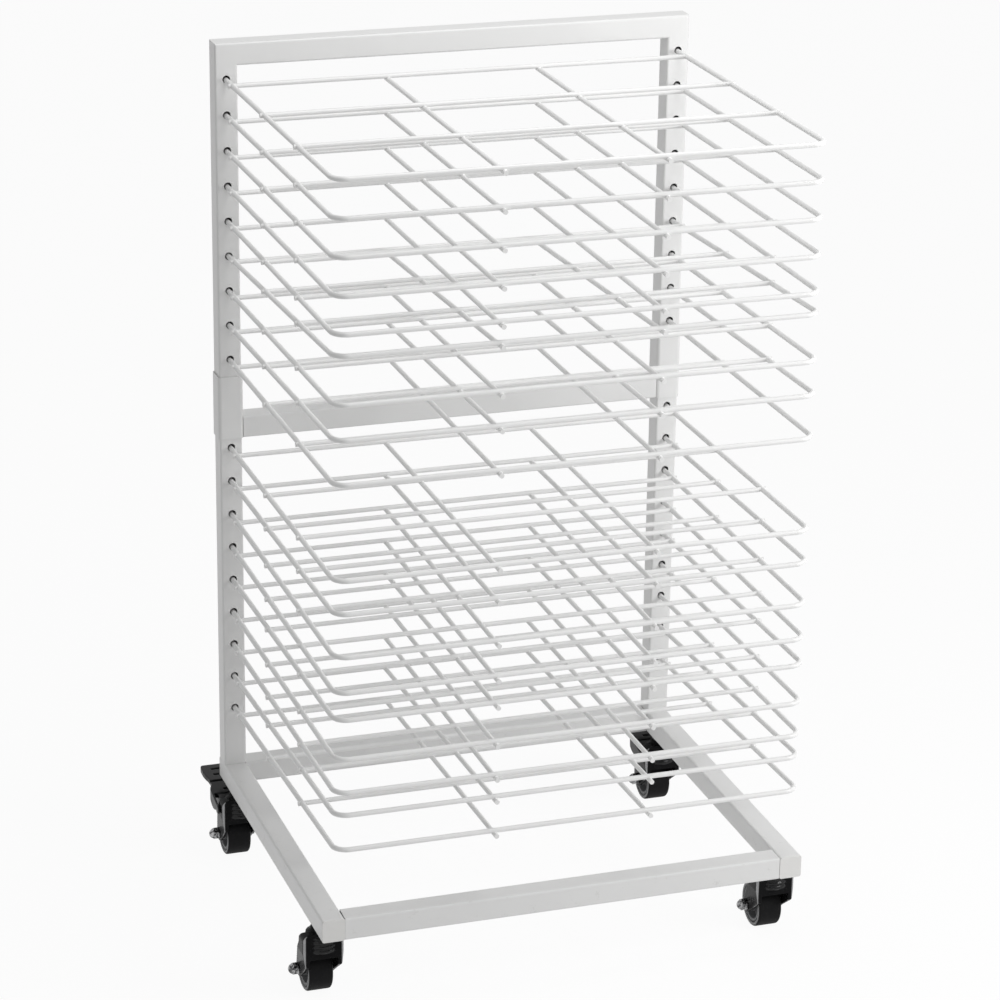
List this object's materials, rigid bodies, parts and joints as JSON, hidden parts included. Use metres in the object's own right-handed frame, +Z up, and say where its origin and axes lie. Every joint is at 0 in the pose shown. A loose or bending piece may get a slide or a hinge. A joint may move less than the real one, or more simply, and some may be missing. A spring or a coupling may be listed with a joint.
{
  "type": "art drying rack",
  "caption": "Upright square-tube rack on swivel casters with a stack of cantilevered welded wire shelves that hold wet sheets flat while they dry.",
  "frame": {"origin": "on the floor under the centre of the rack's outline, seen from above", "axes": "+Z up, +X to the right of a person facing the open front of the shelves, +Y to the back, where the uprights are"},
  "size_m": [0.568, 0.4938, 0.95],
  "materials": {
    "white_powder_coat": "satin powder coat",
    "white_cap_plastic": "matte",
    "black_fork": "satin",
    "black_pedal": "satin",
    "grey_hub": "matte",
    "black_tyre": "matte",
    "zinc_steel": "bright zinc"
  },
  "bodies": {
    "frame": {"top_bar": "white_powder_coat", "middle_crossbar": "white_powder_coat", "front_bar": "white_powder_coat", "rear_base_bar": "white_powder_coat", "upper_upright_left": "white_powder_coat", "lower_upright_left": "white_powder_coat", "joint_socket_left": "white_powder_coat", "base_spigot_left": "white_powder_coat", "side_rail_left": "white_powder_coat", "upper_upright_right": "white_powder_coat", "lower_upright_right": "white_powder_coat", "joint_socket_right": "white_powder_coat", "base_spigot_right": "white_powder_coat", "side_rail_right": "white_powder_coat", "rail_cap_front_left": "white_cap_plastic", "rail_cap_rear_left": "white_cap_plastic", "rail_cap_front_right": "white_cap_plastic", "rail_cap_rear_right": "white_cap_plastic", "caster_stem_front_left": "zinc_steel", "caster_stem_rear_left": "zinc_steel", "caster_stem_front_right": "zinc_steel", "caster_stem_rear_right": "zinc_steel"},
    "shelf_01": {"wire_shelf_01": "white_powder_coat"},
    "shelf_02": {"wire_shelf_02": "white_powder_coat"},
    "shelf_03": {"wire_shelf_03": "white_powder_coat"},
    "shelf_04": {"wire_shelf_04": "white_powder_coat"},
    "shelf_05": {"wire_shelf_05": "white_powder_coat"},
    "shelf_06": {"wire_shelf_06": "white_powder_coat"},
    "shelf_07": {"wire_shelf_07": "white_powder_coat"},
    "shelf_08": {"wire_shelf_08": "white_powder_coat"},
    "shelf_09": {"wire_shelf_09": "white_powder_coat"},
    "shelf_10": {"wire_shelf_10": "white_powder_coat"},
    "shelf_11": {"wire_shelf_11": "white_powder_coat"},
    "shelf_12": {"wire_shelf_12": "white_powder_coat"},
    "shelf_13": {"wire_shelf_13": "white_powder_coat"},
    "shelf_14": {"wire_shelf_14": "white_powder_coat"},
    "shelf_15": {"wire_shelf_15": "white_powder_coat"},
    "shelf_16": {"wire_shelf_16": "white_powder_coat"},
    "shelf_17": {"wire_shelf_17": "white_powder_coat"},
    "shelf_18": {"wire_shelf_18": "white_powder_coat"},
    "fork_front_left": {"caster_fork_front_left": "black_fork", "axle_bolt_front_left": "zinc_steel"},
    "wheel_front_left": {"wheel_hub_front_left": "grey_hub", "wheel_tyre_front_left": "black_tyre"},
    "fork_rear_left": {"caster_fork_rear_left": "black_fork", "axle_bolt_rear_left": "zinc_steel"},
    "wheel_rear_left": {"wheel_hub_rear_left": "grey_hub", "wheel_tyre_rear_left": "black_tyre"},
    "pedal_rear_left": {"brake_pedal_rear_left": "black_pedal"},
    "fork_front_right": {"caster_fork_front_right": "black_fork", "axle_bolt_front_right": "zinc_steel"},
    "wheel_front_right": {"wheel_hub_front_right": "grey_hub", "wheel_tyre_front_right": "black_tyre"},
    "fork_rear_right": {"caster_fork_rear_right": "black_fork", "axle_bolt_rear_right": "zinc_steel"},
    "wheel_rear_right": {"wheel_hub_rear_right": "grey_hub", "wheel_tyre_rear_right": "black_tyre"},
    "pedal_rear_right": {"brake_pedal_rear_right": "black_pedal"}
  },
  "joints": [
    {"name": "shelf_01_pull", "type": "slide", "parent": "frame", "child": "shelf_01", "axis": [0, -1, 0], "range_m": [0, 0.45]},
    {"name": "shelf_02_pull", "type": "slide", "parent": "frame", "child": "shelf_02", "axis": [0, -1, 0], "range_m": [0, 0.45]},
    {"name": "shelf_03_pull", "type": "slide", "parent": "frame", "child": "shelf_03", "axis": [0, -1, 0], "range_m": [0, 0.45]},
    {"name": "shelf_04_pull", "type": "slide", "parent": "frame", "child": "shelf_04", "axis": [0, -1, 0], "range_m": [0, 0.45]},
    {"name": "shelf_05_pull", "type": "slide", "parent": "frame", "child": "shelf_05", "axis": [0, -1, 0], "range_m": [0, 0.45]},
    {"name": "shelf_06_pull", "type": "slide", "parent": "frame", "child": "shelf_06", "axis": [0, -1, 0], "range_m": [0, 0.45]},
    {"name": "shelf_07_pull", "type": "slide", "parent": "frame", "child": "shelf_07", "axis": [0, -1, 0], "range_m": [0, 0.45]},
    {"name": "shelf_08_pull", "type": "slide", "parent": "frame", "child": "shelf_08", "axis": [0, -1, 0], "range_m": [0, 0.45]},
    {"name": "shelf_09_pull", "type": "slide", "parent": "frame", "child": "shelf_09", "axis": [0, -1, 0], "range_m": [0, 0.45]},
    {"name": "shelf_10_pull", "type": "slide", "parent": "frame", "child": "shelf_10", "axis": [0, -1, 0], "range_m": [0, 0.45]},
    {"name": "shelf_11_pull", "type": "slide", "parent": "frame", "child": "shelf_11", "axis": [0, -1, 0], "range_m": [0, 0.45]},
    {"name": "shelf_12_pull", "type": "slide", "parent": "frame", "child": "shelf_12", "axis": [0, -1, 0], "range_m": [0, 0.45]},
    {"name": "shelf_13_pull", "type": "slide", "parent": "frame", "child": "shelf_13", "axis": [0, -1, 0], "range_m": [0, 0.45]},
    {"name": "shelf_14_pull", "type": "slide", "parent": "frame", "child": "shelf_14", "axis": [0, -1, 0], "range_m": [0, 0.45]},
    {"name": "shelf_15_pull", "type": "slide", "parent": "frame", "child": "shelf_15", "axis": [0, -1, 0], "range_m": [0, 0.45]},
    {"name": "shelf_16_pull", "type": "slide", "parent": "frame", "child": "shelf_16", "axis": [0, -1, 0], "range_m": [0, 0.45]},
    {"name": "shelf_17_pull", "type": "slide", "parent": "frame", "child": "shelf_17", "axis": [0, -1, 0], "range_m": [0, 0.45]},
    {"name": "shelf_18_pull", "type": "slide", "parent": "frame", "child": "shelf_18", "axis": [0, -1, 0], "range_m": [0, 0.45]},
    {"name": "swivel_front_left", "type": "hinge", "parent": "frame", "child": "fork_front_left", "pos_m": [-0.25445, -0.17663, 0.0817], "axis": [0, 0, 1], "continuous": true},
    {"name": "roll_front_left", "type": "hinge", "parent": "fork_front_left", "child": "wheel_front_left", "pos_m": [-0.25445, -0.15463, 0.0255], "axis": [1, 0, 0], "continuous": true},
    {"name": "swivel_rear_left", "type": "hinge", "parent": "frame", "child": "fork_rear_left", "pos_m": [-0.25445, 0.16687, 0.0817], "axis": [0, 0, 1], "continuous": true},
    {"name": "roll_rear_left", "type": "hinge", "parent": "fork_rear_left", "child": "wheel_rear_left", "pos_m": [-0.25445, 0.18887, 0.0255], "axis": [1, 0, 0], "continuous": true},
    {"name": "brake_rear_left", "type": "hinge", "parent": "fork_rear_left", "child": "pedal_rear_left", "pos_m": [-0.25445, 0.16687, 0.0662], "axis": [-1, 0, 0], "range_deg": [0, 6]},
    {"name": "swivel_front_right", "type": "hinge", "parent": "frame", "child": "fork_front_right", "pos_m": [0.25855, -0.17663, 0.0817], "axis": [0, 0, 1], "continuous": true},
    {"name": "roll_front_right", "type": "hinge", "parent": "fork_front_right", "child": "wheel_front_right", "pos_m": [0.25855, -0.15463, 0.0255], "axis": [1, 0, 0], "continuous": true},
    {"name": "swivel_rear_right", "type": "hinge", "parent": "frame", "child": "fork_rear_right", "pos_m": [0.25855, 0.16687, 0.0817], "axis": [0, 0, 1], "continuous": true},
    {"name": "roll_rear_right", "type": "hinge", "parent": "fork_rear_right", "child": "wheel_rear_right", "pos_m": [0.25855, 0.18887, 0.0255], "axis": [1, 0, 0], "continuous": true},
    {"name": "brake_rear_right", "type": "hinge", "parent": "fork_rear_right", "child": "pedal_rear_right", "pos_m": [0.25855, 0.16687, 0.0662], "axis": [-1, 0, 0], "range_deg": [0, 6]}
  ]
}
